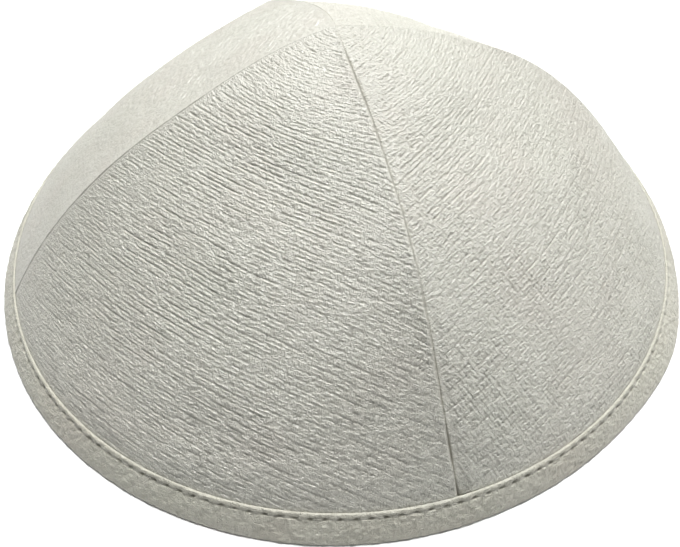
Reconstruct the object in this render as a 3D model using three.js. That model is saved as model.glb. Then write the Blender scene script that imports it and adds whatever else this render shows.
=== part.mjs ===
// A four-panel skullcap (kippah): four cloth gores sewn together along four seams that meet in a soft
// point, and a folded strip of the same cloth bound round the rim.
// Millimetres, +Z up. The origin is on the floor, below the tip. Seams run down -Y, +X, +Y and -X.
import * as THREE from "three";

// Driving dimensions.
const RIM_DIAMETER = 166; // across the band's outer faces, where they meet the floor
const CROWN_HEIGHT = 61; // floor to tip
const CLOTH = 1.2; // a panel's wall
const SEAM_GAP = 0.3; // between the sewn edges of two panels
const BAND_WALL = 1.0; // the band's strip, outside and inside the panels
const BAND_OUTSIDE = 7.2; // the band's reach up the outside, along the wall
const BAND_INSIDE = 6.2; // the band's reach up the inside, along the wall
const CLEARANCE = 0.3; // between a panel and the band that holds it
const TUCK = 0.8; // how far the panels are pressed in where the band covers them
const TUCK_RUN = 1.4; // the stretch of wall above the band in which they bend in
const BEAD_WIDTH = 1.3; // the band's folded top edge, above its row of stitches
const BEAD_RISE = 0.35; // how far that edge stands proud
const HEM_ROUND = 0.9; // the rounding where the band turns under the rim

const SEAMS = 4;
const FIRST_SEAM_DEG = -90; // the front seam; the others follow anticlockwise
const PANEL_NAMES = ["panel_front_right", "panel_back_right", "panel_back_left", "panel_front_left"];
const PANEL_COLUMNS = 14;
const PANEL_ROWS = 15;
const BAND_STEPS = 84;
const PROFILE_STEPS = 240;

// The seam's side view from the tip to the rim. Share is the share of its length, slope is its fall
// below the horizontal in degrees, and flat says how straight the cloth is pulled between two seams:
// 0 gives a round cross-section, and 1 a square one with its corners on the seams.
const SECTIONS = [
  { share: 0.0, slope: 12, flat: 0.9 },
  { share: 0.2, slope: 23.5, flat: 0.68 },
  { share: 0.4, slope: 30, flat: 0.68 },
  { share: 0.6, slope: 41, flat: 0.54 },
  { share: 0.8, slope: 51.5, flat: 0.14 },
  { share: 1.0, slope: 58.5, flat: 0.0 },
];

// The rounding under the rim, from the floor up. Inward and up are shares of HEM_ROUND.
const HEM_SECTION = [
  { inward: 1.0, up: 0.0 },
  { inward: 0.42, up: 0.12 },
  { inward: 0.1, up: 0.46 },
];

// The bead, from its foot up. Below is a share of BEAD_WIDTH, and rise one of BEAD_RISE.
const BEAD_SECTION = [
  { below: 1.0, rise: 0.0 },
  { below: 0.7, rise: 0.85 },
  { below: 0.3, rise: 1.0 },
];

const CLOTH_COLOUR = 0xd9d8ce;
const BAND_COLOUR = 0xcfcec4;

const { clamp, degToRad, euclideanModulo, lerp } = THREE.MathUtils;
const PANEL_ANGLE = (2 * Math.PI) / SEAMS;

// How far each face lies outside the crown's own outer face.
const bandFace = CLEARANCE + BAND_WALL - TUCK;
const channelOuter = CLEARANCE - TUCK;
const channelInner = -(TUCK + CLOTH + CLEARANCE);
const bandLining = channelInner - BAND_WALL;

// A column of SECTIONS at any share, on a smooth curve through its rows.
function sectionValue(column, share) {
  const last = SECTIONS.length - 1;
  const row = clamp(SECTIONS.findLastIndex((section) => section.share <= share), 0, last - 1);
  const value = (i) => SECTIONS[clamp(i, 0, last)][column];
  const f = (share - SECTIONS[row].share) / (SECTIONS[row + 1].share - SECTIONS[row].share);
  const startRate = (value(row + 1) - value(row - 1)) / 2;
  const endRate = (value(row + 2) - value(row)) / 2;
  return (
    value(row) * (1 + 2 * f) * (1 - f) ** 2 +
    value(row + 1) * f * f * (3 - 2 * f) +
    startRate * f * (1 - f) ** 2 -
    endRate * f * f * (1 - f)
  );
}

// The seam's side view as points (radius, height) from the tip down, stretched to a radius and height.
function seamProfile(radius, height) {
  const points = [new THREE.Vector2(0, 0)];
  for (let i = 0; i < PROFILE_STEPS; i += 1) {
    const slope = degToRad(sectionValue("slope", (i + 0.5) / PROFILE_STEPS));
    points.push(points[i].clone().add(new THREE.Vector2(Math.cos(slope), -Math.sin(slope))));
  }
  const rim = points[PROFILE_STEPS];
  return points.map((p) => new THREE.Vector2((p.x / rim.x) * radius, height * (1 - p.y / rim.y)));
}

// The crown is narrower than the band by the band's own thickness there.
const rimSlope = degToRad(SECTIONS[SECTIONS.length - 1].slope);
const profile = seamProfile(RIM_DIAMETER / 2 - bandFace / Math.sin(rimSlope), CROWN_HEIGHT);
const lengths = [0];
for (let i = 1; i <= PROFILE_STEPS; i += 1) {
  lengths.push(lengths[i - 1] + profile[i].distanceTo(profile[i - 1]));
}
const wallLength = lengths[PROFILE_STEPS];
const rimFall = profile[PROFILE_STEPS].clone().sub(profile[PROFILE_STEPS - 1]).normalize();

// A point of the seam's side view and its outward normal, at a distance above the rim along the wall.
// Below the rim the wall goes on straight.
function wallAt(above) {
  const along = wallLength - above;
  const start = clamp(lengths.findLastIndex((length) => length <= along), 0, PROFILE_STEPS - 1);
  const fall = profile[start + 1].clone().sub(profile[start]).normalize();
  const point = profile[start].clone().addScaledVector(fall, along - lengths[start]);
  return { point, normal: new THREE.Vector2(-fall.y, fall.x) };
}

// The radius at an azimuth, as a share of the seam's radius at the same height.
function panelShare(azimuth, above) {
  const fromMiddle = euclideanModulo(azimuth - degToRad(FIRST_SEAM_DEG), PANEL_ANGLE) - PANEL_ANGLE / 2;
  const flat = sectionValue("flat", clamp(1 - above / wallLength, 0, 1));
  return 1 + flat * (Math.cos(PANEL_ANGLE / 2) / Math.cos(fromMiddle) - 1);
}

// Radius and height at an azimuth, on the face that lies outside the crown's own by offset.
function facePoint(azimuth, above, offset) {
  const { point, normal } = wallAt(above);
  const radius = point.x * panelShare(azimuth, above) + normal.x * offset;
  return new THREE.Vector2(radius, point.y + normal.y * offset);
}

// How far above the rim the face at an offset reaches a height.
function aboveAtHeight(height, offset) {
  return (height - rimFall.x * offset) / -rimFall.y;
}

function place(radius, azimuth, height) {
  return new THREE.Vector3(radius * Math.cos(azimuth), radius * Math.sin(azimuth), height);
}

// Adds two triangles for four corners that go anticlockwise as seen from outside. A corner may be
// shared, and then one triangle is left.
function addQuad(triangles, a, b, c, d) {
  for (const corners of [[a, b, c], [a, c, d]]) {
    if (new Set(corners).size === 3) triangles.push(...corners);
  }
}

function geometryOf(points, triangles) {
  const geometry = new THREE.BufferGeometry();
  geometry.setFromPoints(points);
  geometry.setIndex(triangles);
  geometry.computeVertexNormals();
  return geometry;
}

// The rows of a panel: how far above the rim each lies, and how far it is pressed in there.
function panelRows() {
  const covered = BAND_OUTSIDE + CLEARANCE;
  const rows = [];
  for (let row = 0; row <= PANEL_ROWS; row += 1) {
    rows.push({ above: lerp(wallLength, covered + TUCK_RUN, row / PANEL_ROWS), tuck: 0 });
  }
  rows.push({ above: covered, tuck: TUCK });
  rows.push({ above: aboveAtHeight(BAND_WALL + CLEARANCE, -(TUCK + CLOTH)), tuck: TUCK });
  return rows;
}

// The gore on both sides of a middle azimuth: a grid of points on its outer and its inner face, in one
// point each at the tip. It is drawn a little narrow and moved out, so its edges stand off the seams.
function panelGeometry(middle) {
  const moved = SEAM_GAP / 2 / Math.sin(PANEL_ANGLE / 2);
  const narrow = 1 - (2 * moved) / RIM_DIAMETER;
  const rows = panelRows();
  const points = [];
  rows.forEach(({ above, tuck }, row) => {
    for (let column = 0; column <= (row === 0 ? 0 : PANEL_COLUMNS); column += 1) {
      const azimuth = middle + (column / PANEL_COLUMNS - 0.5) * PANEL_ANGLE;
      for (const offset of [-tuck, -(tuck + CLOTH)]) {
        const p = facePoint(azimuth, above, offset);
        const radius = row === 0 ? 0 : p.x * narrow;
        points.push(place(radius, azimuth, p.y).add(place(moved, middle, 0)));
      }
    }
  });

  const outer = (row, column) => (row === 0 ? 0 : 2 + ((row - 1) * (PANEL_COLUMNS + 1) + column) * 2);
  const inner = (row, column) => outer(row, column) + 1;
  const triangles = [];
  const foot = rows.length - 1;
  for (let row = 1; row <= foot; row += 1) {
    for (let column = 1; column <= PANEL_COLUMNS; column += 1) {
      for (const [face, first, second] of [[outer, column - 1, column], [inner, column, column - 1]]) {
        addQuad(triangles, face(row - 1, first), face(row, first), face(row, second), face(row - 1, second));
      }
    }
  }
  const edge = [];
  for (let row = 0; row < foot; row += 1) edge.push([row, 0]);
  for (let column = 0; column < PANEL_COLUMNS; column += 1) edge.push([foot, column]);
  for (let row = foot; row > 0; row -= 1) edge.push([row, PANEL_COLUMNS]);
  edge.forEach((from, i) => {
    const to = edge[(i + 1) % edge.length];
    addQuad(triangles, outer(...from), inner(...from), inner(...to), outer(...to));
  });
  return geometryOf(points, triangles);
}

// The band's cross-section at an azimuth as (radius, height), anticlockwise: out from under the rim, up
// the outer face to the bead, down into the channel that holds the panels, and over the inside.
function bandSection(azimuth) {
  const onFace = (above, offset) => facePoint(azimuth, above, offset);
  const atHeight = (height, offset) =>
    new THREE.Vector2(onFace(aboveAtHeight(height, offset), offset).x, height);
  const halfwayDown = (top, offset) => onFace((top + aboveAtHeight(BAND_WALL, offset)) / 2, offset);
  const hem = (offset, side) =>
    HEM_SECTION.map(({ inward, up }) => {
      const p = atHeight(up * HEM_ROUND, offset);
      return new THREE.Vector2(p.x - side * inward * HEM_ROUND, p.y);
    });
  const bead = BEAD_SECTION.map(({ below, rise }) =>
    onFace(BAND_OUTSIDE - below * BEAD_WIDTH, bandFace + rise * BEAD_RISE),
  );
  return [
    ...hem(bandFace, 1),
    atHeight(HEM_ROUND, bandFace),
    ...bead,
    onFace(BAND_OUTSIDE, (bandFace + channelOuter) / 2),
    onFace(BAND_OUTSIDE, channelOuter),
    halfwayDown(BAND_OUTSIDE, channelOuter),
    atHeight(BAND_WALL, channelOuter),
    atHeight(BAND_WALL, channelInner),
    halfwayDown(BAND_INSIDE, channelInner),
    onFace(BAND_INSIDE, channelInner),
    onFace(BAND_INSIDE, bandLining),
    halfwayDown(BAND_INSIDE, bandLining),
    atHeight(HEM_ROUND, bandLining),
    ...hem(bandLining, -1).reverse(),
  ];
}

function bandGeometry() {
  const points = [];
  const triangles = [];
  const corners = bandSection(0).length;
  for (let step = 0; step < BAND_STEPS; step += 1) {
    const azimuth = (2 * Math.PI * step) / BAND_STEPS;
    for (const p of bandSection(azimuth)) points.push(place(p.x, azimuth, p.y));
    const here = step * corners;
    const next = ((step + 1) % BAND_STEPS) * corners;
    for (let i = 0; i < corners; i += 1) {
      const j = (i + 1) % corners;
      addQuad(triangles, here + i, next + i, next + j, here + j);
    }
  }
  return geometryOf(points, triangles);
}

function clothMesh(name, geometry, colour) {
  const material = new THREE.MeshStandardMaterial({ color: colour, roughness: 0.85, metalness: 0 });
  const mesh = new THREE.Mesh(geometry, material);
  mesh.name = name;
  return mesh;
}

const cap = new THREE.Group();
PANEL_NAMES.forEach((name, i) => {
  const middle = degToRad(FIRST_SEAM_DEG) + (i + 0.5) * PANEL_ANGLE;
  cap.add(clothMesh(name, panelGeometry(middle), CLOTH_COLOUR));
});
cap.add(clothMesh("rim_band", bandGeometry(), BAND_COLOUR));

export default cap;
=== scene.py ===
"""A four-panel cloth skullcap (kippah) with a stitched band folded over its rim.

Lengths are in millimetres until a mesh is made, and in metres after that. The origin is on the floor
below the tip, +Z is up, and the front seam runs down towards -Y. Azimuths are in radians and go
anticlockwise as seen from above. Each panel is laid out flat as two distances: down from the tip, and to
the right of its middle.
"""
import math
from dataclasses import dataclass

import bpy
import numpy as np
from mathutils import Matrix, Vector

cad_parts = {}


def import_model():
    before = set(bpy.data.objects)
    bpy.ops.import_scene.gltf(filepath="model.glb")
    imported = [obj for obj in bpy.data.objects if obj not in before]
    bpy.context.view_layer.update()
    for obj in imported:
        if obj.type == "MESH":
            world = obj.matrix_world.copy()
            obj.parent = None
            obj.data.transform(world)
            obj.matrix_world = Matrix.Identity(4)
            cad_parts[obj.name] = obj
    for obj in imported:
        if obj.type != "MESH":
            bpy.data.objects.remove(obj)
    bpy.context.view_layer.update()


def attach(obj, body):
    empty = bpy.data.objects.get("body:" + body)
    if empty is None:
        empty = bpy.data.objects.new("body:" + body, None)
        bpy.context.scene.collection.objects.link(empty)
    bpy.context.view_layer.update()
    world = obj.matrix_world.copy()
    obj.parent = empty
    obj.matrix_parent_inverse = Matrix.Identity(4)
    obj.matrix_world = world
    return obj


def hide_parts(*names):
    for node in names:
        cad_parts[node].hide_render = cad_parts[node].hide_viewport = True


MM = 0.001

# The crown. The slopes are those of its seams from the tip to the rim, at even shares of their length.
RIM_RADIUS = 83.0
CROWN_RADIUS = 82.4
CROWN_HEIGHT = 61.0
SEAM_SLOPES_DEG = (10.1, 22.5, 29.2, 42.7, 52.7, 60.5)
PROFILE_STEPS = 4000
CLOTH_THICKNESS = 1.2
SEAM_GAP = 0.08
# The gap and the weave fade out this close to the tip, where all the panels meet.
TIP_RUN = 2.5

# How straight the cloth is pulled between two seams, at even shares of the way down: 0 is round, and 1 is
# square with its corners at the seams. It starts at the band's top and is full one round run above it.
FRONT_FLATNESS = (0.88, 0.42, 0.58, 0.32, 0.1, 0.0)
BACK_RIGHT_FLATNESS = (0.6, 0.43, 0.77, 0.42, 0.11, 0.0)
BACK_LEFT_FLATNESS = (0.9, 0.74, 0.68, 0.36, 0.13, 0.0)
ROUND_RUN = 12.0
# A seam's twist at the tip dies away over this share of its length.
ASKEW_RUN = 0.25

# The band that is folded over the rim. Heights are distances up the wall from the rim.
BAND_TOP = 6.5
BAND_INSIDE_TOP = 5.9
BAND_WALL = 1.0
CLEARANCE = 0.3
HEM_ROUND = 0.4
# The panels are pressed in under the band, and their feet stand in its channel.
TUCK = 0.8
TUCK_TOP = 6.25
TUCK_FULL = 5.75
PANEL_FOOT = 2.3
# The band stands out at its lower edge, most where it is stretched at one side, least at the front.
RIM_FLARE = 0.4
RIM_FLARE_REACH = 5.0
SIDE_FLARE = 1.15
SIDE_FLARE_AZIMUTH = -0.77
SIDE_FLARE_WIDTH = 0.2
FRONT_PULL = 0.5
FRONT_PULL_AZIMUTH = -1.35
FRONT_PULL_WIDTH = 0.45

# The band's surface: a swell between rim and stitches, a channel along the stitches with a hole at the
# end of each one, puckers between the holes, and a bead above.
BELLY = 0.15
PUCKER_HEIGHT = 0.05
PUCKER_REACH = 1.3
CHANNEL_DEPTH = 0.1
CHANNEL_REACH = 0.3
HOLE_DEPTH = 0.32
HOLE_LENGTH = 0.55
HOLE_HEIGHT = 0.24
BEAD_FULLNESS = 0.05
BEAD_ROLL = 5
# The bead starts this far below the stitches. Its grain is calmed by the first share, and again towards
# its top by the second.
BEAD_LEAD = 0.5
BEAD_CALM = 0.35
BEAD_TOP_CALM = 0.5
BEAD_TOP_RUN = 0.6
# Painted shade darkens the bead's top as much as a groove of this depth, rising between these distances below
# its top.
BEAD_PAINTED_SHADE = 0.24
BEAD_PAINTED_SHADE_RUN = (1.0, 0.5)
# The relief fades out over this height above the floor.
FOOT_CALM = 0.8
# Each grain's depth, its number of bumps round the rim, and a bump's length up the wall.
BAND_GRAINS = ((0.12, 940, 0.55), (0.08, 520, 1.0), (0.06, 170, 3.0))
BAND_GRAIN_LAYER = 71

# The stitches: how far up the wall they lie, how far apart, and how far in from the crown's radius. Each
# shows one bar of thread, whose half length is its reach and whose ends sag into the holes.
STITCH_LINE = 5.35
STITCH_PITCH = 2.93
STITCH_INSET = 3.0
THREAD_RADIUS = 0.16
THREAD_REACH = 1.22
THREAD_HEIGHT = 0.38
THREAD_SAG = 0.42
THREAD_TAPER = 0.02
THREAD_SIDES = 8
THREAD_RINGS = 9
# The faces that close a ring of eight points.
THREAD_CAP = np.array([(0, 1, 2, 3), (0, 3, 4, 7), (4, 5, 6, 7)])

# The weave: ribs across each panel, which bend down towards its seams because the cloth is pulled over
# the crown. The bends are curvatures, for each millimetre.
RIB_PITCH = 1.58
RIB_TILT = math.tan(math.radians(5.5))
RIB_BEND_TOP = 0.0058
RIB_BEND_LOW = 0.0082
RIB_BEND_FROM = 35.0
RIB_BEND_TO = 62.0
# Grooves are closed below the first of these noise values and open above the second.
DASH_LIMITS = (-0.85, 0.15)
# Dashes and tufts are shifted by these shares of their length from each row to the next.
DASH_SHIFT = 0.37
TUFT_SHIFT = 0.61
TUFT_LENGTH = 0.75
TUFT_DEPTH = 0.13
# The weave shows less near the tip, and less again low down, between these distances from the tip.
TIP_FADE = 0.25
TIP_FADE_RUN = (45.0, 15.0)
LOW_FADE = 0.15
LOW_FADE_RUN = (60.0, 95.0)
# The weave starts at the band and is full this far above it. The dents are full at these distances from
# a seam and from the band.
WEAVE_RUN = 1.2
DENT_RUN_FROM_SEAM = 8.0
DENT_RUN_FROM_BAND = 12.0
# Each panel takes this many layers of the noise for its weave and for its dents, and its fibres lie this
# far from the next panel's in their noise.
WEAVE_LAYERS = 10
DENT_LAYERS = 5
FIBRES_APART = 10.0

# Along a seam both panels rise to a crest, or sink, and then turn down into it in a round edge, which is
# as small as the slack share of the full one where the seam isn't drawn in.
SEAM_RUN = 3.2
SEAM_CREST = 0.6
SEAM_ROUND = 0.5
SLACK_ROUND = 0.08
# The panels have no width at the tip, so the turn there is never taken as smaller than this.
LEAST_ROUND = 0.001
# Close to a seam the cloth's colour gets painted shade, as in a groove, and its weave is pressed flat to this
# share.
SEAM_PAINTED_SHADE = 0.34
SEAM_PAINTED_SHADE_RUN = (0.52, 0.16)
PRESSED_WEAVE = 0.2
PRESSED_PLACE = 0.1
# How tightly a seam is drawn in varies in puckers along it, and slackens low down.
SEAM_PUCKER_LENGTH = 2.4
SEAM_PUCKER_MEAN = 0.85
SEAM_PUCKER_RANGE = 0.35
SEAM_PUCKER_LAYER = 3
SEAM_ROWS_APART = 7.0
SEAM_SLACK = 0.3
SEAM_SLACK_RUN = (38.0, 80.0)

# The meshes: how far their first columns lie from a seam, and how far apart rows and columns lie.
EDGE_STEPS = (0.0, 0.06, 0.14, 0.24, 0.36, 0.52, 0.74, 1.02)
LINING_STEP = 1.1
BAND_STEP = 0.32
BAND_ROW_STEP = 0.24
BEAD_ROWS = 15
OUTER_HEM_ROWS = 9
INNER_HEM_ROWS = 4
# A row narrower than twice this is a single point.
LEAST_HALF_WIDTH = 0.05
# Columns that follow a seam stay within this share of the half width from it.
EDGE_SHARE = 0.8
# Edges sharper than these stay sharp in the shading.
PANEL_SHARP_DEG = 75
BAND_SHARP_DEG = 80

# Each cloth's colours: where it is lightest, where it is warm, where it is cool, and the groove colour, which
# is painted shade in its grooves, along its seams, on the bead, in its holes and between its fibres.
CLOTH_COLOURS = ((0.7, 0.69, 0.605), (0.67, 0.648, 0.566), (0.648, 0.652, 0.561), (0.4, 0.386, 0.32))
BAND_COLOURS = ((0.665, 0.65, 0.56), (0.64, 0.61, 0.52), (0.62, 0.62, 0.52), (0.44, 0.428, 0.355))
# A turned panel's nap lies the other way. It gets a painted-shade copy of the cloth, whose colours are
# darkened by this share and whose fibres show less, which makes it smoother.
TURNED_PAINTED_SHADE = 0.87
TURNED_COARSE = 0.45
BAND_GLOSS = 0.4
BAND_COARSE = 0.9
# Mottling: cells of noise for each metre, and the noise values where a tint starts and is full.
BLOTCH_SCALE = 45
BLOTCH_LIMITS = (0.35, 0.65)
PATCH_SCALE = 90
PATCH_LIMITS = (0.4, 0.7)
# The depths, in millimetres, where the painted groove shade starts and is full.
GROOVE_SHADE_LIMITS = (0.08, 0.44)
# Fibres: threads of these widths and lengths in millimetres, with painted shade between them that is
# ramped between two noise values up to a share of the groove colour. Their height is in metres.
WEFT_SIZE = (1.1, 0.4)
WARP_SIZE = (0.4, 1.0)
FIBRE_LIMITS = (0.44, 0.66)
FIBRE_PAINTED_SHADE = 0.44
FIBRE_HEIGHT = 0.00085
FIBRE_STRENGTH = 0.8
CLOTH_ROUGHNESS = (0.44, 0.58)
CLOTH_IOR = 1.8
SHEEN_WEIGHT = 0.08
SHEEN_ROUGHNESS = 0.45
NOISE_ROUGHNESS = 0.6

SEWING_THREAD_COLOURS = ((0.5, 0.49, 0.43), (0.66, 0.65, 0.58))
SEWING_THREAD_SCALE = 3200
SEWING_THREAD_HEIGHT = 0.00008
SEWING_THREAD_STRENGTH = 0.6
SEWING_THREAD_ROUGHNESS = 0.8
SEWING_THREAD_GLOSS = 0.2

# The camera looks at a target that is given by its height and its place to the right of the axis.
CAMERA_AZIMUTH_DEG = -16.133
CAMERA_ELEVATION_DEG = 47.677
CAMERA_ROLL_DEG = 1.151
CAMERA_DISTANCE = 231.07
CAMERA_TARGET_HEIGHT = -13.93
CAMERA_TARGET_RIGHT = -0.04
CAMERA_LENS = 45.699
CAMERA_SENSOR = 36.0
CAMERA_CLIP_START = 0.01

# The floor and the backdrop behind it are round. The floor's glow starts and is full at these distances
# from the middle, in metres.
FLOOR_RADIUS = 2500.0
FLOOR_CORNERS = 96
BACKDROP_HEIGHT = 2500.0
FLOOR_GLOW_RUN = (0.35, 0.9)
FLOOR_COLOURS = ((0.93, 0.93, 0.93), (0.95, 0.95, 0.95))
FLOOR_SCALE = 3
FLOOR_ROUGHNESS = 0.9
FLOOR_GLOSS = 0.1
FLOOR_GLOW_COLOUR = (0.95, 0.95, 0.95, 1.0)
BACKDROP_COLOUR = (0.96, 0.96, 0.96, 1.0)

# One soft lamp, placed in metres and powered in watts, in a dim white room.
BLACK = (0.0, 0.0, 0.0, 1.0)
WHITE = (1.0, 1.0, 1.0, 1.0)
LAMP_PLACE = (0.22, 0.34, 1.01)
LAMP_SIZE = 0.38
LAMP_POWER = 17.3
ROOM_LIGHT = 0.12

LATTICE_SIZE = 256
LATTICE = np.random.default_rng(1948).uniform(-1, 1, (LATTICE_SIZE, LATTICE_SIZE))
# Each layer of the noise starts this many columns and rows further on in the lattice.
LAYER_COLUMNS = 61
LAYER_ROWS = 97


# Helpers for smooth shapes and noise

def smoothstep(start, end, value):
    """0 up to the start and 1 beyond the end, with a smooth rise between. The end may be the lower one."""
    share = np.clip((value - start) / (end - start), 0, 1)
    return share * share * (3 - 2 * share)


def smooth_curve(values, share):
    """The value at a share from 0 to 1 on a smooth curve through evenly spaced values."""
    values = np.asarray(values, float)
    last = len(values) - 1
    place = np.clip(share, 0, 1) * last
    row = np.minimum(place.astype(int), last - 1)
    f = place - row

    def at(offset):
        return values[np.clip(row + offset, 0, last)]

    start_rate = (at(1) - at(-1)) / 2
    end_rate = (at(2) - at(0)) / 2
    return (
        at(0) * (1 + 2 * f) * (1 - f) ** 2
        + at(1) * f * f * (3 - 2 * f)
        + start_rate * f * (1 - f) ** 2
        - end_rate * f * f * (1 - f)
    )


def noise(x, y, layer, around=LATTICE_SIZE):
    """Smooth noise from -1 to 1 in cells of size 1, which repeats after so many cells along x."""
    column = np.floor(x).astype(int)
    row = np.floor(y).astype(int)
    u = x - column
    v = y - row
    u = u * u * (3 - 2 * u)
    v = v * v * (3 - 2 * v)
    left = (column % around + LAYER_COLUMNS * layer) % LATTICE_SIZE
    right = ((column + 1) % around + LAYER_COLUMNS * layer) % LATTICE_SIZE
    low = (row + LAYER_ROWS * layer) % LATTICE_SIZE
    high = (row + 1 + LAYER_ROWS * layer) % LATTICE_SIZE
    return (
        LATTICE[left, low] * (1 - u) * (1 - v)
        + LATTICE[right, low] * u * (1 - v)
        + LATTICE[left, high] * (1 - u) * v
        + LATTICE[right, high] * u * v
    )


# What the cap is made of

@dataclass
class Seam:
    """A seam's azimuth, and how far it wanders in one bend, in two bends and at the tip, in radians. Draw
    says how tightly it is drawn in, where 1 is the usual. It lies flat at the tip and is fully drawn in
    at fade_in millimetres from it."""

    azimuth: float
    bow: float
    snake: float
    askew: float
    fade_in: float
    draw: float


@dataclass
class Edge:
    """How far a panel's edge stands up along its seam, and how wide its weave is pressed flat there."""

    lift: float
    calm: float


@dataclass
class Groove:
    """A set of parallel grooves: how far apart they lie, their half width, depth and length of dashes."""

    pitch: float
    width: float
    depth: float
    dash: float


@dataclass
class Swell:
    """A field of smooth bumps: their height, and their lengths across and down the cloth. Shift moves the
    field across by a share of a bump."""

    height: float
    across: float
    down: float
    shift: float = 0.0

    def at(self, x, down, layer):
        return self.height * noise(x / self.across + self.shift, down / self.down, layer)


@dataclass
class Panel:
    """A gore of the crown between two seams, the first one on its left as seen from outside. Ribs, crosses
    and nap say how strongly the two directions of its weave and its pile show. The steps are those of its
    mesh. Layer picks its own noise. The nap of a turned panel lies the other way, and it takes a darker
    copy of the cloth, with painted shade."""

    name: str
    first: str
    second: str
    flatness: tuple
    first_edge: Edge
    second_edge: Edge
    ribs: float
    crosses: float
    nap: float
    row_step: float
    column_step: float
    layer: int
    turned: bool = False


SEAMS = {
    "front": Seam(-math.pi / 2, bow=0.0145, snake=0.014, askew=0.0, fade_in=12.0, draw=2.5),
    "right": Seam(0.0, bow=0.067, snake=0.0155, askew=0.0, fade_in=40.0, draw=0.9),
    "back": Seam(math.pi / 2, bow=0.12, snake=0.045, askew=-0.15, fade_in=60.0, draw=0.9),
    "left": Seam(math.pi, bow=0.047, snake=0.022, askew=0.0, fade_in=60.0, draw=0.65),
}
LOW_EDGE = Edge(lift=-0.4, calm=1.8)
FLUSH_EDGE = Edge(lift=-0.05, calm=2.4)
PROUD_EDGE = Edge(lift=0.16, calm=1.1)
PANELS = (
    Panel(
        "panel_front_right", "front", "right", FRONT_FLATNESS, LOW_EDGE, PROUD_EDGE,
        ribs=1.0, crosses=0.9, nap=0.4, row_step=0.26, column_step=0.333, layer=1,
    ),
    Panel(
        "panel_back_right", "right", "back", BACK_RIGHT_FLATNESS, FLUSH_EDGE, PROUD_EDGE,
        ribs=0.95, crosses=0.3, nap=0.6, row_step=0.19, column_step=0.456, layer=2,
    ),
    Panel(
        "panel_back_left", "back", "left", BACK_LEFT_FLATNESS, FLUSH_EDGE, PROUD_EDGE,
        ribs=0.8, crosses=0.25, nap=0.5, row_step=0.19, column_step=0.456, layer=3, turned=True,
    ),
    Panel(
        "panel_front_left", "left", "front", FRONT_FLATNESS, FLUSH_EDGE, PROUD_EDGE,
        ribs=0.9, crosses=0.35, nap=0.55, row_step=0.178, column_step=0.487, layer=4,
    ),
)

RIBS = Groove(pitch=RIB_PITCH, width=0.18, depth=0.27, dash=1.5)
HALF_RIBS = Groove(pitch=RIB_PITCH, width=0.16, depth=0.15, dash=1.4)
CROSSES = Groove(pitch=1.0, width=0.19, depth=0.22, dash=1.7)
RIB_WAVE = Swell(height=0.18, across=7, down=6)
RIB_JITTER = Swell(height=0.055, across=2.1, down=1.6)
CROSS_WAVE = Swell(height=0.25, across=5, down=6)
# The crosswise grooves and the whole weave vary in strength by these shares about their mean.
CROSS_MEAN = 0.75
CROSS_PATCHES = Swell(height=0.5, across=13, down=11)
WEAVE_MEAN = 0.9
WEAVE_PATCHES = Swell(height=0.2, across=9, down=8)
PILE = Swell(height=0.07, across=0.6, down=0.4)
DENTS = Swell(height=0.22, across=17, down=15, shift=0.5)
SMALL_DENTS = Swell(height=0.1, across=7, down=6)


# Meshes

def zip_rows(upper, upper_places, lower, lower_places):
    """Triangles between two rows of points, given each point's place along its row. They face the
    viewer who sees the upper row above and the places growing to the right."""
    upper_middles = (upper_places[1:] + upper_places[:-1]) / 2
    lower_middles = (lower_places[1:] + lower_places[:-1]) / 2
    opposite_upper = lower[np.searchsorted(lower_middles, upper_middles, side="left")]
    opposite_lower = upper[np.searchsorted(upper_middles, lower_middles, side="right")]
    return np.concatenate([
        np.stack([upper[:-1], opposite_upper, upper[1:]], axis=1),
        np.stack([opposite_lower, lower[:-1], lower[1:]], axis=1),
    ])


def make_object(name, points, faces, attributes=None):
    """A smooth-shaded object from points in millimetres and faces that all have as many sides. Attributes
    are numbers or vectors for each point."""
    sides = faces.shape[1]
    mesh = bpy.data.meshes.new(name)
    mesh.vertices.add(len(points))
    mesh.vertices.foreach_set("co", (points * MM).astype(np.float32).ravel())
    mesh.loops.add(faces.size)
    mesh.loops.foreach_set("vertex_index", faces.astype(np.int32).ravel())
    mesh.polygons.add(len(faces))
    mesh.polygons.foreach_set("loop_start", np.arange(0, faces.size, sides, dtype=np.int32))
    mesh.update(calc_edges=True)
    mesh.validate()
    mesh.shade_smooth()
    for key, values in (attributes or {}).items():
        kind, field = ("FLOAT", "value") if values.ndim == 1 else ("FLOAT_VECTOR", "vector")
        attribute = mesh.attributes.new(key, kind, "POINT")
        attribute.data.foreach_set(field, values.astype(np.float32).ravel())
    made = bpy.data.objects.new(name, mesh)
    bpy.context.scene.collection.objects.link(made)
    return made


# The crown's surface

def make_profile():
    """Distance down the wall, radius and height along the seams' side view."""
    shares = (np.arange(PROFILE_STEPS) + 0.5) / PROFILE_STEPS
    slopes = np.radians(smooth_curve(SEAM_SLOPES_DEG, shares))
    radius = np.concatenate([[0], np.cumsum(np.cos(slopes))])
    fall = np.concatenate([[0], np.cumsum(np.sin(slopes))])
    radius *= CROWN_RADIUS / radius[-1]
    height = CROWN_HEIGHT * (1 - fall / fall[-1])
    along = np.concatenate([[0], np.cumsum(np.hypot(np.diff(radius), np.diff(height)))])
    return along, radius, height


PROFILE_ALONG, PROFILE_RADIUS, PROFILE_HEIGHT = make_profile()
WALL_LENGTH = PROFILE_ALONG[-1]


def profile_radius(along):
    return np.interp(along, PROFILE_ALONG, PROFILE_RADIUS)


def profile_height(along):
    return np.interp(along, PROFILE_ALONG, PROFILE_HEIGHT)


def seam_azimuth(seam, share):
    wander = seam.bow * np.sin(math.pi * share) + seam.snake * np.sin(2 * math.pi * share)
    return seam.azimuth + wander + seam.askew * np.exp(-share / ASKEW_RUN)


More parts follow.
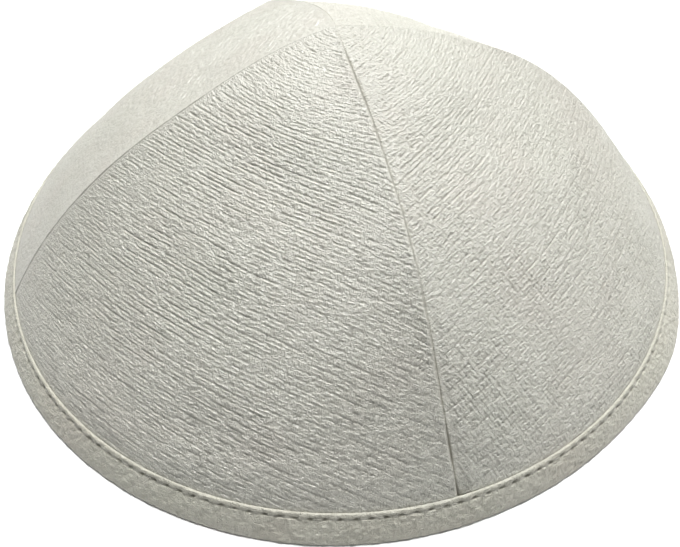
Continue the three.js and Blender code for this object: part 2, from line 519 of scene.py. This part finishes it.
def panel_layout(panel, along):
    """The middle azimuth, half angle, seam radius and flatness of a panel, down from the tip."""
    share = along / WALL_LENGTH
    first = seam_azimuth(SEAMS[panel.first], share)
    second = seam_azimuth(SEAMS[panel.second], share)
    second = np.where(second < first, second + 2 * math.pi, second)
    flat = smooth_curve(panel.flatness, share)
    flat = flat * smoothstep(BAND_TOP, BAND_TOP + ROUND_RUN, WALL_LENGTH - along)
    return (first + second) / 2, (second - first) / 2, profile_radius(along), flat


def crown_points(panel, along, across):
    """Points of a panel's smooth outer face. Across goes from -1 at its first seam to 1 at its second."""
    middle, half, radius, flat = panel_layout(panel, along)
    turn = half * across
    radius = radius * (1 + flat * (np.cos(half) / np.cos(turn) - 1))
    azimuth = middle + turn
    moved = SEAM_GAP / 2 / math.sin(math.pi / 4) * smoothstep(0, TIP_RUN, along)
    radius = radius * (1 - moved / RIM_RADIUS)
    home = SEAMS[panel.first].azimuth + math.pi / 4
    return np.stack([
        radius * np.cos(azimuth) + moved * math.cos(home),
        radius * np.sin(azimuth) + moved * math.sin(home),
        profile_height(along) * np.ones_like(radius),
    ], axis=-1)


def crown_normals(panel, along, across):
    """Outward normals of a panel's smooth outer face."""
    step = 0.6
    turn = 0.02
    low = np.clip(along, step, None)
    down = crown_points(panel, low + step, across) - crown_points(panel, low - step, across)
    middle_across = np.clip(across, turn - 1, 1 - turn)
    right = crown_points(panel, low, middle_across + turn) - crown_points(panel, low, middle_across - turn)
    normal = np.cross(down, right)
    return normal / np.linalg.norm(normal, axis=-1, keepdims=True)


def flat_place(panel, along, across):
    """How far right of the panel's middle a point lies on the cloth laid flat, and half the width there."""
    _, half, radius, flat = panel_layout(panel, along)

    def reach(turn):
        return radius * ((1 - flat) * turn + flat * np.cos(half) * np.tan(turn))

    return reach(half * across), reach(half)


def middle_distance(panel, along):
    """Distance from the tip along the panel's middle, for a distance along its seams."""
    points = crown_points(panel, PROFILE_ALONG, np.zeros_like(PROFILE_ALONG))
    lengths = np.concatenate([[0], np.cumsum(np.linalg.norm(np.diff(points, axis=0), axis=1))])
    return np.interp(along, PROFILE_ALONG, lengths)


# The cloth's relief

def groove_set(x, down, groove, layer):
    """Parallel grooves from 0 to 1, one for each pitch of down, each broken into dashes of its own."""
    row = np.round(down / groove.pitch)
    from_groove = down - row * groove.pitch
    dashes = smoothstep(*DASH_LIMITS, noise(x / groove.dash + DASH_SHIFT * row, row, layer))
    return np.exp(-((from_groove / groove.width) ** 2)) * dashes


def tufts(x, down, pitch, layer):
    """The brushed tufts of parallel strands from -1 to 1, each as wide as its strand."""
    row = np.floor(down / pitch)
    return noise(x / TUFT_LENGTH + TUFT_SHIFT * row, row, layer)


def rib_course(x, down):
    """How far down from the tip the rib through a place crosses the panel's middle."""
    bend = RIB_BEND_TOP + (RIB_BEND_LOW - RIB_BEND_TOP) * smoothstep(RIB_BEND_FROM, RIB_BEND_TO, down)
    return down - RIB_TILT * x - bend * x * x / 2


def weave(panel, x, down):
    """The weave's depth below its highest places, in millimetres."""
    layer = WEAVE_LAYERS * panel.layer
    rib_down = rib_course(x, down) + RIB_WAVE.at(x, down, layer) + RIB_JITTER.at(x, down, layer + 1)
    ribs = groove_set(x, rib_down, RIBS, layer + 2)
    half_ribs = groove_set(x, rib_down + RIB_PITCH / 2, HALF_RIBS, layer + 3)
    side = x + CROSS_WAVE.at(x, down, layer + 4)
    crosses = groove_set(rib_down, side, CROSSES, layer + 5)
    patches = CROSS_MEAN + CROSS_PATCHES.at(x, down, layer + 6)
    strands = tufts(x, rib_down, RIB_PITCH / 2, layer + 7)
    pile = panel.nap * (TUFT_DEPTH * strands + PILE.at(x, down, layer + 8))
    strength = WEAVE_MEAN + WEAVE_PATCHES.at(x, down, layer + 9)
    fade = TIP_FADE * smoothstep(*TIP_FADE_RUN, down) + LOW_FADE * smoothstep(*LOW_FADE_RUN, down)
    lengthwise = panel.ribs * (RIBS.depth * ribs + HALF_RIBS.depth * half_ribs)
    crosswise = panel.crosses * patches * CROSSES.depth * crosses
    return strength * (1 - fade) * (lengthwise + crosswise) + pile


def edge_shape(distance, lift, width, drawn):
    """How the cloth rises along a seam and turns down into it, in millimetres outwards."""
    shape = lift * smoothstep(SEAM_RUN, SEAM_CREST, distance) * np.minimum(drawn, 1)
    round_off = np.minimum(SEAM_ROUND * (SLACK_ROUND + (1 - SLACK_ROUND) * drawn), width / 4)
    inside = 1 - np.clip(distance / np.maximum(round_off, LEAST_ROUND), 0, 1)
    return shape - round_off * (1 - np.sqrt(np.clip(1 - inside * inside, 0, 1)))


def seam_draw(name, along):
    """How tightly a seam is drawn in, down from the tip."""
    seam = SEAMS[name]
    row = SEAM_ROWS_APART * list(SEAMS).index(name)
    puckers = SEAM_PUCKER_MEAN + SEAM_PUCKER_RANGE * noise(along / SEAM_PUCKER_LENGTH, row, SEAM_PUCKER_LAYER)
    slack = 1 - SEAM_SLACK * smoothstep(*SEAM_SLACK_RUN, along)
    return seam.draw * smoothstep(0, seam.fade_in, along) * puckers * slack


def soft_dents(panel, x, down):
    """Shallow swells of the soft cloth, in millimetres outwards."""
    layer = DENT_LAYERS * panel.layer
    return DENTS.at(x, down, layer) + SMALL_DENTS.at(x, down, layer + 1)


def tuck_depth(above):
    """How far a panel is pressed in near and under the band."""
    return TUCK * smoothstep(TUCK_TOP, TUCK_FULL, above)


# The panels

def row_places(half_width, step, edges):
    """Places across a row from -1 to 1: close together at both seams, and evenly spaced between."""
    if half_width < LEAST_HALF_WIDTH:
        return np.array([0.0])
    near = [edge for edge in edges if edge < EDGE_SHARE * half_width]
    inner_half = half_width - near[-1]
    count = max(2, 2 * math.ceil(inner_half / step))
    middle = np.linspace(-inner_half, inner_half, count + 1)
    left = [edge - half_width for edge in near[:-1]]
    right = [half_width - edge for edge in reversed(near[:-1])]
    return np.concatenate([left, middle, right]) / half_width


def panel_rows(panel, step, column_step, edges):
    """For each row down from the tip: its distance along the wall, and the places across it."""
    foot = WALL_LENGTH - PANEL_FOOT
    rows = []
    for along in np.linspace(0, foot, math.ceil(foot / step) + 1):
        _, half_width = flat_place(panel, np.array([along]), np.array([1.0]))
        rows.append((along, row_places(float(half_width[0]), column_step, edges)))
    return rows


def spread_rows(rows):
    """The rows' distances and places as long arrays, and each row's point numbers."""
    along = np.concatenate([np.full(len(places), row) for row, places in rows])
    across = np.concatenate([places for _, places in rows])
    ends = np.cumsum([len(places) for _, places in rows])
    numbers = [np.arange(end - len(places), end) for end, (_, places) in zip(ends, rows)]
    return along, across, numbers


def outer_face(panel, along, across):
    """Points of a panel's outer face with its seams and weave, and how deep each lies in the weave, or the
    painted seam shade where that is more.
    """
    x, half_width = flat_place(panel, along, across)
    down = middle_distance(panel, along)
    above = WALL_LENGTH - along
    to_first = half_width + x
    to_second = half_width - x
    to_seam = np.minimum(to_first, to_second)
    nearer_first = to_first < to_second
    lift = np.where(nearer_first, panel.first_edge.lift, panel.second_edge.lift)
    calm = np.where(nearer_first, panel.first_edge.calm, panel.second_edge.calm)
    drawn = np.where(nearer_first, seam_draw(panel.first, along), seam_draw(panel.second, along))
    edge = edge_shape(to_seam, lift, half_width, drawn)

    raised = PRESSED_WEAVE + (1 - PRESSED_WEAVE) * smoothstep(PRESSED_PLACE, 1, to_seam / calm)
    ends = smoothstep(0, TIP_RUN, along) * smoothstep(BAND_TOP, BAND_TOP + WEAVE_RUN, above)
    depth = weave(panel, x, down) * raised * ends
    dents = soft_dents(panel, x, down) * smoothstep(0, DENT_RUN_FROM_SEAM, to_seam)
    dents = dents * smoothstep(BAND_TOP, BAND_TOP + DENT_RUN_FROM_BAND, above)
    offset = edge - depth + dents - tuck_depth(above)
    points = crown_points(panel, along, across) + crown_normals(panel, along, across) * offset[:, None]
    # Painted shade along the seam, darkest at it and as strong as the seam is drawn in.
    painted_seam_shade = SEAM_PAINTED_SHADE * drawn * smoothstep(*SEAM_PAINTED_SHADE_RUN, to_seam)
    return points, np.maximum(depth, painted_seam_shade)


def thread_places(panel, along, across):
    """Where each point lies among the cloth's threads: across them, down them, and in which panel."""
    x, _ = flat_place(panel, along, across)
    ribs_down = rib_course(x, middle_distance(panel, along))
    return np.stack([x, ribs_down, np.full_like(x, FIBRES_APART * panel.layer)], axis=-1)


def lining_face(panel, along, across):
    """Points of a panel's inner face, which follows the outer one more plainly."""
    inwards = CLOTH_THICKNESS + tuck_depth(WALL_LENGTH - along)
    return crown_points(panel, along, across) - crown_normals(panel, along, across) * inwards[:, None]


def shell_faces(outer_rows, outer_numbers, inner_rows, inner_numbers):
    """The faces of a closed shell from its outer rows downwards and its inner rows upwards: both faces,
    the foot between them, and a wall along each seam."""
    rows = outer_rows + inner_rows
    numbers = outer_numbers + inner_numbers
    faces = []
    for i in range(len(rows) - 1):
        faces.append(zip_rows(numbers[i], rows[i][1], numbers[i + 1], rows[i + 1][1]))
    outer_places = np.array([row for row, _ in outer_rows])
    inner_places = np.array([row for row, _ in reversed(inner_rows)])
    for side in (0, -1):
        outer_edge = np.array([row[side] for row in outer_numbers])
        inner_edge = np.array([row[side] for row in reversed(inner_numbers)])
        if side == 0:
            faces.append(zip_rows(outer_edge, outer_places, inner_edge, inner_places))
        else:
            faces.append(zip_rows(inner_edge, inner_places, outer_edge, outer_places))
    return np.concatenate(faces)


def make_panel(panel):
    """A panel as one closed shell."""
    outer_rows = panel_rows(panel, panel.row_step, panel.column_step, EDGE_STEPS)
    inner_rows = panel_rows(panel, LINING_STEP, LINING_STEP, (0.0,))[::-1]
    along, across, outer_numbers = spread_rows(outer_rows)
    outer_points, depth = outer_face(panel, along, across)
    inner_along, inner_across, inner_numbers = spread_rows(inner_rows)
    inner_points = lining_face(panel, inner_along, inner_across)
    inner_numbers = [numbers + len(outer_points) for numbers in inner_numbers]
    faces = shell_faces(outer_rows, outer_numbers, inner_rows, inner_numbers)
    # The depth attribute sets the painted groove shade: the weave's depth, or the painted seam shade where
    # that is more. The lining has none.
    attributes = {
        "depth": np.concatenate([depth, np.zeros(len(inner_points))]),
        "threads": np.concatenate([
            thread_places(panel, along, across),
            thread_places(panel, inner_along, inner_across),
        ]),
    }
    name = panel.name.replace("panel", "cloth")
    piece = make_object(name, np.concatenate([outer_points, inner_points]), faces, attributes)
    piece.data.set_sharp_from_angle(angle=math.radians(PANEL_SHARP_DEG))
    return piece


# The band

def wall_frame(above):
    """The radius and height of the seams' side view at a distance above the rim, and its outward normal."""
    step = 0.3
    along = WALL_LENGTH - above
    ahead = np.minimum(along + step, WALL_LENGTH)
    behind = ahead - 2 * step
    fall_r = profile_radius(ahead) - profile_radius(behind)
    fall_z = profile_height(ahead) - profile_height(behind)
    length = np.hypot(fall_r, fall_z)
    return profile_radius(along), profile_height(along), -fall_z / length, fall_r / length


def wall_point(above, offset):
    radius, height, normal_r, normal_z = wall_frame(above)
    return radius + normal_r * offset, height + normal_z * offset


def bead_offset(above, face):
    """The outer face's offset from the crown: it swells above the stitches and rolls down to the crown."""
    place = np.clip((above - STITCH_LINE) / (BAND_TOP - STITCH_LINE), 0, 1)
    swell = BEAD_FULLNESS * np.sin(math.pi * place)
    return face * np.sqrt(1 - place ** BEAD_ROLL) + swell


def band_section():
    """The band's section as radius, height, distance up the wall and share of relief, anticlockwise
    from under the rim: up the outer face, over the bead, into the channel, and over the inside."""
    face = CLEARANCE + BAND_WALL - TUCK
    channel_outer = CLEARANCE - TUCK
    channel_inner = -(TUCK + CLOTH_THICKNESS + CLEARANCE)
    lining = channel_inner - BAND_WALL
    bead_start = STITCH_LINE - BEAD_LEAD
    rim_slope = math.radians(SEAM_SLOPES_DEG[-1])
    rows = []

    def above_height(height, offset):
        """How far up the wall a place lies, given its height and its offset from the crown."""
        return (height - math.cos(rim_slope) * offset) / math.sin(rim_slope)

    def add_row(radius, height, above, relief):
        spread = np.zeros_like(radius)
        rows.append(np.stack([radius, height, above + spread, relief + spread], axis=-1))

    def add(above, offset, relief):
        radius, height = wall_point(np.asarray(above, float), np.asarray(offset, float))
        add_row(radius, height, above, relief)

    def add_hem(offset, side, angles, relief):
        """The round fold between a face and the band's underside."""
        turn = np.radians(angles)
        start = above_height(HEM_ROUND, offset)
        radius, _ = wall_point(np.asarray(start), np.asarray(offset, float))
        height = HEM_ROUND * (1 - np.sin(turn))
        add_row(radius - side * HEM_ROUND * (1 - np.cos(turn)), height, start + height - HEM_ROUND, relief)

    add_hem(face, 1, np.linspace(90, 8, OUTER_HEM_ROWS), 1.0)
    add(np.arange(above_height(HEM_ROUND, face) + 0.1, bead_start - 0.1, BAND_ROW_STEP), face, 1.0)
    bead = np.linspace(bead_start, BAND_TOP - 0.01, BEAD_ROWS)
    bead_relief = 1 - BEAD_TOP_CALM * smoothstep(BAND_TOP - BEAD_TOP_RUN, BAND_TOP, bead)
    add(bead, bead_offset(bead, face), bead_relief)
    # The lip turns in over the panels, down one side of the channel, up the other and over the top.
    add(np.array([BAND_TOP, BAND_TOP - 0.4, TUCK_FULL]), np.array([0.04, -0.02, channel_outer]), 0.0)
    add(np.linspace(TUCK_FULL - 0.3, above_height(BAND_WALL, channel_outer), 2), channel_outer, 0.0)
    add(np.linspace(above_height(BAND_WALL, channel_inner), BAND_INSIDE_TOP, 2), channel_inner, 0.0)
    add(np.full(2, BAND_INSIDE_TOP), np.array([channel_inner - 0.4, lining + 0.2]), 0.0)
    add(np.linspace(BAND_INSIDE_TOP - 0.2, above_height(HEM_ROUND, lining) + 0.3, 4), lining, 0.0)
    add_hem(lining, -1, np.linspace(8, 90, INNER_HEM_ROWS), 0.0)
    return np.concatenate(rows)


def stitch_count():
    radius, _ = wall_point(np.array(STITCH_LINE), np.array(0.5))
    return round(2 * math.pi * float(radius) / STITCH_PITCH)


def band_relief(azimuth, above):
    """How far the band's outer face stands out, in millimetres."""
    count = stitch_count()
    pitch = 2 * math.pi * (CROWN_RADIUS - STITCH_INSET) / count
    phase = azimuth * count / (2 * math.pi)
    from_hole = (phase - np.round(phase)) * pitch
    up = above - STITCH_LINE
    belly = BELLY * np.sin(math.pi * np.clip(above / STITCH_LINE, 0, 1))
    pucker = -PUCKER_HEIGHT * np.cos(math.pi * 2 * phase) * np.exp(-(up / PUCKER_REACH) ** 2)
    channel = CHANNEL_DEPTH * np.exp(-((up / CHANNEL_REACH) ** 2))
    holes = HOLE_DEPTH * np.exp(-((from_hole / HOLE_LENGTH) ** 2) - (up / HOLE_HEIGHT) ** 2)
    grain = 0
    for number, (depth, bumps, length) in enumerate(BAND_GRAINS):
        bump = azimuth / (2 * math.pi) * bumps
        grain = grain + depth * noise(bump, above / length, BAND_GRAIN_LAYER + number, bumps)
    calm = 1 - BEAD_CALM * smoothstep(STITCH_LINE - BEAD_LEAD, STITCH_LINE, above)
    return belly + pucker - channel - holes + grain * calm


def rim_flare(azimuth, above):
    """How far the band stands out beyond the crown's line, in millimetres."""
    side = SIDE_FLARE * np.exp(-(((azimuth - SIDE_FLARE_AZIMUTH) / SIDE_FLARE_WIDTH) ** 2))
    front = FRONT_PULL * np.exp(-(((azimuth - FRONT_PULL_AZIMUTH) / FRONT_PULL_WIDTH) ** 2))
    return (RIM_FLARE + side - front) * np.clip(1 - above / RIM_FLARE_REACH, 0, 1)


def make_band():
    """The folded strip as one closed ring."""
    section = band_section()
    columns = round(2 * math.pi * RIM_RADIUS / BAND_STEP)
    azimuth = 2 * math.pi * np.arange(columns) / columns - math.pi
    count = len(section)
    tangent = np.roll(section[:, :2], -1, axis=0) - np.roll(section[:, :2], 1, axis=0)
    normal = np.stack([tangent[:, 1], -tangent[:, 0]], axis=-1)
    normal /= np.linalg.norm(normal, axis=-1, keepdims=True)
    turn, above = np.meshgrid(azimuth, section[:, 2], indexing="ij")
    relief = band_relief(turn, above) * section[None, :, 3]
    relief = relief * smoothstep(0, FOOT_CALM, section[None, :, 1])
    radius = section[None, :, 0] + normal[None, :, 0] * relief + rim_flare(turn, above)
    height = np.maximum(section[None, :, 1] + normal[None, :, 1] * relief, 0)
    points = np.stack([radius * np.cos(turn), radius * np.sin(turn), height], axis=-1).reshape(-1, 3)

    here = np.arange(columns)[:, None] * count + np.arange(count)[None, :]
    over = np.roll(here, -1, axis=0)
    faces = np.stack([here, over, np.roll(over, -1, axis=1), np.roll(here, -1, axis=1)], axis=-1)
    # Painted shade: the colour darkens where the band's relief sinks (in its channel, its stitch holes and
    # its low grain) and on the bead's top.
    painted_bead_shade = BEAD_PAINTED_SHADE * smoothstep(*BEAD_PAINTED_SHADE_RUN, BAND_TOP - above)
    attributes = {
        "depth": np.maximum(np.clip(-relief, 0, None), painted_bead_shade).reshape(-1),
        "threads": np.stack([turn * RIM_RADIUS, above, 0 * turn], axis=-1).reshape(-1, 3),
    }
    piece = make_object("band_cloth", points, faces.reshape(-1, 4), attributes)
    piece.data.set_sharp_from_angle(angle=math.radians(BAND_SHARP_DEG))
    return piece


def stitch_points(azimuth):
    """The points of one stitch's bar of thread, ring by ring."""
    around = 2 * math.pi * np.arange(THREAD_SIDES) / THREAD_SIDES
    along = np.linspace(-1, 1, THREAD_RINGS)
    thickness = THREAD_RADIUS * np.sqrt(np.clip(1 - along ** 4, THREAD_TAPER, 1))
    sag = THREAD_SAG * along ** 4
    radius, height, normal_r, normal_z = (float(v) for v in wall_frame(np.array(STITCH_LINE)))
    turn = azimuth + along * THREAD_REACH / radius
    out = THREAD_HEIGHT - sag[:, None] + thickness[:, None] * np.cos(around)[None, :]
    up = thickness[:, None] * np.sin(around)[None, :]
    r = radius + normal_r * out - normal_z * up
    z = height + normal_z * out + normal_r * up
    return np.stack([r * np.cos(turn)[:, None], r * np.sin(turn)[:, None], z], axis=-1).reshape(-1, 3)


def stitch_faces(start):
    """The faces of one stitch's bar of thread, whose points start at a number: its sides and its ends."""
    ring = np.arange(THREAD_SIDES)
    faces = []
    for i in range(THREAD_RINGS - 1):
        low = start + i * THREAD_SIDES + ring
        high = low + THREAD_SIDES
        faces.append(np.stack([low, high, np.roll(high, -1), np.roll(low, -1)], axis=-1))
    last_ring = start + (THREAD_RINGS - 1) * THREAD_SIDES
    faces.append(start + THREAD_CAP)
    faces.append(last_ring + THREAD_CAP[:, ::-1])
    return np.concatenate(faces)


def make_stitches():
    """The thread that shows between the holes in the band, one short bar for each stitch."""
    count = stitch_count()
    points_each = THREAD_RINGS * THREAD_SIDES
    points = [stitch_points(2 * math.pi * (stitch + 0.5) / count) for stitch in range(count)]
    faces = [stitch_faces(stitch * points_each) for stitch in range(count)]
    return make_object("band_thread", np.concatenate(points), np.concatenate(faces))


# Materials

def new_material(name):
    material = bpy.data.materials.new(name)
    material.use_nodes = True
    nodes = material.node_tree.nodes
    return material, nodes, material.node_tree.links, nodes["Principled BSDF"]


def object_place(nodes):
    """The place on the object, in metres."""
    return nodes.new("ShaderNodeTexCoord").outputs["Object"]


def add_attribute(nodes, name):
    attribute = nodes.new("ShaderNodeAttribute")
    attribute.attribute_name = name
    return attribute


def add_noise(nodes, links, vector, scale, detail):
    """Noise from 0 to 1, with a number of cells for each unit of the vector."""
    texture = nodes.new("ShaderNodeTexNoise")
    texture.inputs["Scale"].default_value = scale
    texture.inputs["Detail"].default_value = detail
    texture.inputs["Roughness"].default_value = NOISE_ROUGHNESS
    links.new(vector, texture.inputs["Vector"])
    return texture.outputs["Fac"]


def add_threads(nodes, links, places, size):
    """Noise drawn out into short threads. Size is how far they reach along and down the ribs."""
    scaled = nodes.new("ShaderNodeVectorMath")
    scaled.operation = "MULTIPLY"
    scaled.inputs[1].default_value = (1 / size[0], 1 / size[1], 1.0)
    links.new(places, scaled.inputs[0])
    return add_noise(nodes, links, scaled.outputs["Vector"], 1.0, 2)


def add_higher(nodes, links, first, second):
    higher = nodes.new("ShaderNodeMath")
    higher.operation = "MAXIMUM"
    links.new(first, higher.inputs[0])
    links.new(second, higher.inputs[1])
    return higher.outputs["Value"]


def add_ramp(nodes, links, value, limits, start=0.0, end=1.0):
    """Maps a value between two limits to the range from start to end."""
    mapping = nodes.new("ShaderNodeMapRange")
    mapping.inputs["From Min"].default_value = limits[0]
    mapping.inputs["From Max"].default_value = limits[1]
    mapping.inputs["To Min"].default_value = start
    mapping.inputs["To Max"].default_value = end
    links.new(value, mapping.inputs["Value"])
    return mapping.outputs["Result"]


def add_mix(nodes, links, share, first, second):
    """Mixes two colours. Each is a colour or the output that gives it."""
    mix = nodes.new("ShaderNodeMix")
    mix.data_type = "RGBA"
    links.new(share, mix.inputs["Factor"])
    for socket, colour in ((mix.inputs[6], first), (mix.inputs[7], second)):
        if isinstance(colour, tuple):
            socket.default_value = (*colour, 1)
        else:
            links.new(colour, socket)
    return mix.outputs[2]


def add_bump(nodes, links, height, distance, strength):
    bump = nodes.new("ShaderNodeBump")
    bump.inputs["Strength"].default_value = strength
    bump.inputs["Distance"].default_value = distance
    links.new(height, bump.inputs["Height"])
    return bump.outputs["Normal"]


def cloth_fibres(nodes, links):
    """The furry threads of the cloth at its smallest scale, in both directions of the weave."""
    places = add_attribute(nodes, "threads").outputs["Vector"]
    weft = add_threads(nodes, links, places, WEFT_SIZE)
    warp = add_threads(nodes, links, places, WARP_SIZE)
    return add_higher(nodes, links, weft, warp)


def cloth_colour(nodes, links, colours, fibres, coarse):
    """A mottled colour, with painted shade where the depth attribute is high (in the weave's grooves, along
    the seams, on the bead, in the band's holes and channel) and between the fibres.
    """
    light, warm, cool, groove = colours
    place = object_place(nodes)
    blotches = add_ramp(nodes, links, add_noise(nodes, links, place, BLOTCH_SCALE, 2), BLOTCH_LIMITS)
    patches = add_ramp(nodes, links, add_noise(nodes, links, place, PATCH_SCALE, 3), PATCH_LIMITS)
    colour = add_mix(nodes, links, blotches, warm, cool)
    colour = add_mix(nodes, links, patches, colour, light)
    # Painted shade: the colour runs towards the groove colour as the depth attribute rises.
    deep = add_ramp(nodes, links, add_attribute(nodes, "depth").outputs["Fac"], GROOVE_SHADE_LIMITS)
    colour = add_mix(nodes, links, deep, colour, groove)
    # Painted shade between the fibres, where their bump sinks.
    between = add_ramp(nodes, links, fibres, FIBRE_LIMITS, FIBRE_PAINTED_SHADE * coarse, 0.0)
    return add_mix(nodes, links, between, colour, groove)


def cloth_material(name, colours, shade=1.0, gloss=1.0, coarse=1.0):
    """Brushed off-white cloth, with painted shade in its grooves and between its fibres. Shade below 1
    darkens all its colours as painted shade; gloss is the strength of its reflections, and coarse is how
    strongly its fibres show, in their bump and their painted shade."""
    shaded = [tuple(shade * value for value in colour) for colour in colours]
    material, nodes, links, shader = new_material(name)
    fibres = cloth_fibres(nodes, links)
    links.new(cloth_colour(nodes, links, shaded, fibres, coarse), shader.inputs["Base Color"])
    normal = add_bump(nodes, links, fibres, FIBRE_HEIGHT * coarse, FIBRE_STRENGTH)
    links.new(normal, shader.inputs["Normal"])
    links.new(add_ramp(nodes, links, fibres, (0.0, 1.0), *CLOTH_ROUGHNESS), shader.inputs["Roughness"])
    shader.inputs["IOR"].default_value = CLOTH_IOR
    shader.inputs["Specular IOR Level"].default_value = gloss
    shader.inputs["Sheen Weight"].default_value = SHEEN_WEIGHT
    shader.inputs["Sheen Roughness"].default_value = SHEEN_ROUGHNESS
    return material


def thread_material():
    """Matt sewing thread, twisted."""
    material, nodes, links, shader = new_material("thread")
    fibres = add_noise(nodes, links, object_place(nodes), SEWING_THREAD_SCALE, 2)
    links.new(add_mix(nodes, links, fibres, *SEWING_THREAD_COLOURS), shader.inputs["Base Color"])
    normal = add_bump(nodes, links, fibres, SEWING_THREAD_HEIGHT, SEWING_THREAD_STRENGTH)
    links.new(normal, shader.inputs["Normal"])
    shader.inputs["Roughness"].default_value = SEWING_THREAD_ROUGHNESS
    shader.inputs["Specular IOR Level"].default_value = SEWING_THREAD_GLOSS
    return material


def floor_material():
    """Pale paper, which glows far out, where the lamp no longer reaches it."""
    material, nodes, links, shader = new_material("floor")
    place = object_place(nodes)
    tone = add_noise(nodes, links, place, FLOOR_SCALE, 2)
    links.new(add_mix(nodes, links, tone, *FLOOR_COLOURS), shader.inputs["Base Color"])
    shader.inputs["Roughness"].default_value = FLOOR_ROUGHNESS
    shader.inputs["Specular IOR Level"].default_value = FLOOR_GLOSS
    distance = nodes.new("ShaderNodeVectorMath")
    distance.operation = "LENGTH"
    links.new(place, distance.inputs[0])
    glow = add_ramp(nodes, links, distance.outputs["Value"], FLOOR_GLOW_RUN)
    shader.inputs["Emission Color"].default_value = FLOOR_GLOW_COLOUR
    links.new(glow, shader.inputs["Emission Strength"])
    return material


def backdrop_material():
    """Pale paper that glows by itself, so that it is as bright as the floor without a lamp of its own."""
    material, _, _, shader = new_material("backdrop")
    shader.inputs["Base Color"].default_value = BLACK
    shader.inputs["Emission Color"].default_value = BACKDROP_COLOUR
    shader.inputs["Emission Strength"].default_value = 1.0
    return material


# The setting

def floor_edge():
    """The corners of the round floor."""
    turn = 2 * math.pi * np.arange(FLOOR_CORNERS) / FLOOR_CORNERS
    return np.stack([FLOOR_RADIUS * np.cos(turn), FLOOR_RADIUS * np.sin(turn), 0 * turn], axis=-1)


def make_floor():
    floor = make_object("floor", floor_edge(), np.arange(FLOOR_CORNERS)[None, :])
    floor.data.materials.append(floor_material())


def make_backdrop():
    """A round wall of pale paper behind the floor, which is only seen and casts no light."""
    foot = floor_edge()
    points = np.concatenate([foot, foot + np.array([0, 0, BACKDROP_HEIGHT])])
    here = np.arange(FLOOR_CORNERS)
    over = (here + 1) % FLOOR_CORNERS
    faces = np.stack([here, over, over + FLOOR_CORNERS, here + FLOOR_CORNERS], axis=-1)
    backdrop = make_object("backdrop", points, faces)
    backdrop.data.materials.append(backdrop_material())
    backdrop.visible_diffuse = False
    backdrop.visible_glossy = False
    backdrop.visible_shadow = False


def make_lamp():
    """A round lamp high behind the cap, turned towards it."""
    light = bpy.data.lights.new("key", "AREA")
    light.shape = "DISK"
    light.size = LAMP_SIZE
    light.energy = LAMP_POWER
    lamp = bpy.data.objects.new("key", light)
    lamp.location = LAMP_PLACE
    lamp.rotation_euler = Vector(LAMP_PLACE).to_track_quat("Z", "Y").to_euler()
    bpy.context.scene.collection.objects.link(lamp)


def make_room():
    """Dim white light from all sides, and plain colours."""
    world = bpy.data.worlds.new("studio")
    world.use_nodes = True
    background = world.node_tree.nodes["Background"]
    background.inputs["Color"].default_value = WHITE
    background.inputs["Strength"].default_value = ROOM_LIGHT
    bpy.context.scene.world = world
    bpy.context.scene.view_settings.view_transform = "Standard"


def make_camera():
    azimuth = math.radians(CAMERA_AZIMUTH_DEG)
    elevation = math.radians(CAMERA_ELEVATION_DEG)
    back = Vector((
        math.sin(azimuth) * math.cos(elevation),
        -math.cos(azimuth) * math.cos(elevation),
        math.sin(elevation),
    ))
    right = Vector((math.cos(azimuth), math.sin(azimuth), 0))
    up = back.cross(right)
    target = (right * CAMERA_TARGET_RIGHT + Vector((0, 0, CAMERA_TARGET_HEIGHT))) * MM
    roll = math.radians(CAMERA_ROLL_DEG)
    x_axis = right * math.cos(roll) - up * math.sin(roll)
    y_axis = right * math.sin(roll) + up * math.cos(roll)
    data = bpy.data.cameras.new("camera")
    data.lens = CAMERA_LENS
    data.sensor_width = CAMERA_SENSOR
    data.sensor_fit = "HORIZONTAL"
    data.clip_start = CAMERA_CLIP_START
    camera = bpy.data.objects.new("camera", data)
    turn = Matrix((x_axis, y_axis, back)).transposed().to_4x4()
    camera.matrix_world = Matrix.Translation(target + back * CAMERA_DISTANCE * MM) @ turn
    bpy.context.scene.collection.objects.link(camera)
    bpy.context.scene.camera = camera


def add_piece(piece, material, node=None):
    """Gives a piece its material, sets what it moves with, and hides the CAD solid it stands for."""
    piece.data.materials.append(material)
    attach(piece, "root")
    if node:
        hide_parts(node)


def main():
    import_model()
    make_camera()
    make_lamp()
    make_room()
    make_floor()
    make_backdrop()

    cloth = cloth_material("cloth", CLOTH_COLOURS)
    # The turned panels' cloth is a copy darkened with painted shade.
    turned_cloth = cloth_material("turned_cloth", CLOTH_COLOURS, shade=TURNED_PAINTED_SHADE, coarse=TURNED_COARSE)
    band_cloth = cloth_material("band_cloth", BAND_COLOURS, gloss=BAND_GLOSS, coarse=BAND_COARSE)
    for panel in PANELS:
        piece = make_panel(panel)
        add_piece(piece, turned_cloth if panel.turned else cloth, panel.name)
    band = make_band()
    add_piece(band, band_cloth, "rim_band")
    add_piece(make_stitches(), thread_material())


main()
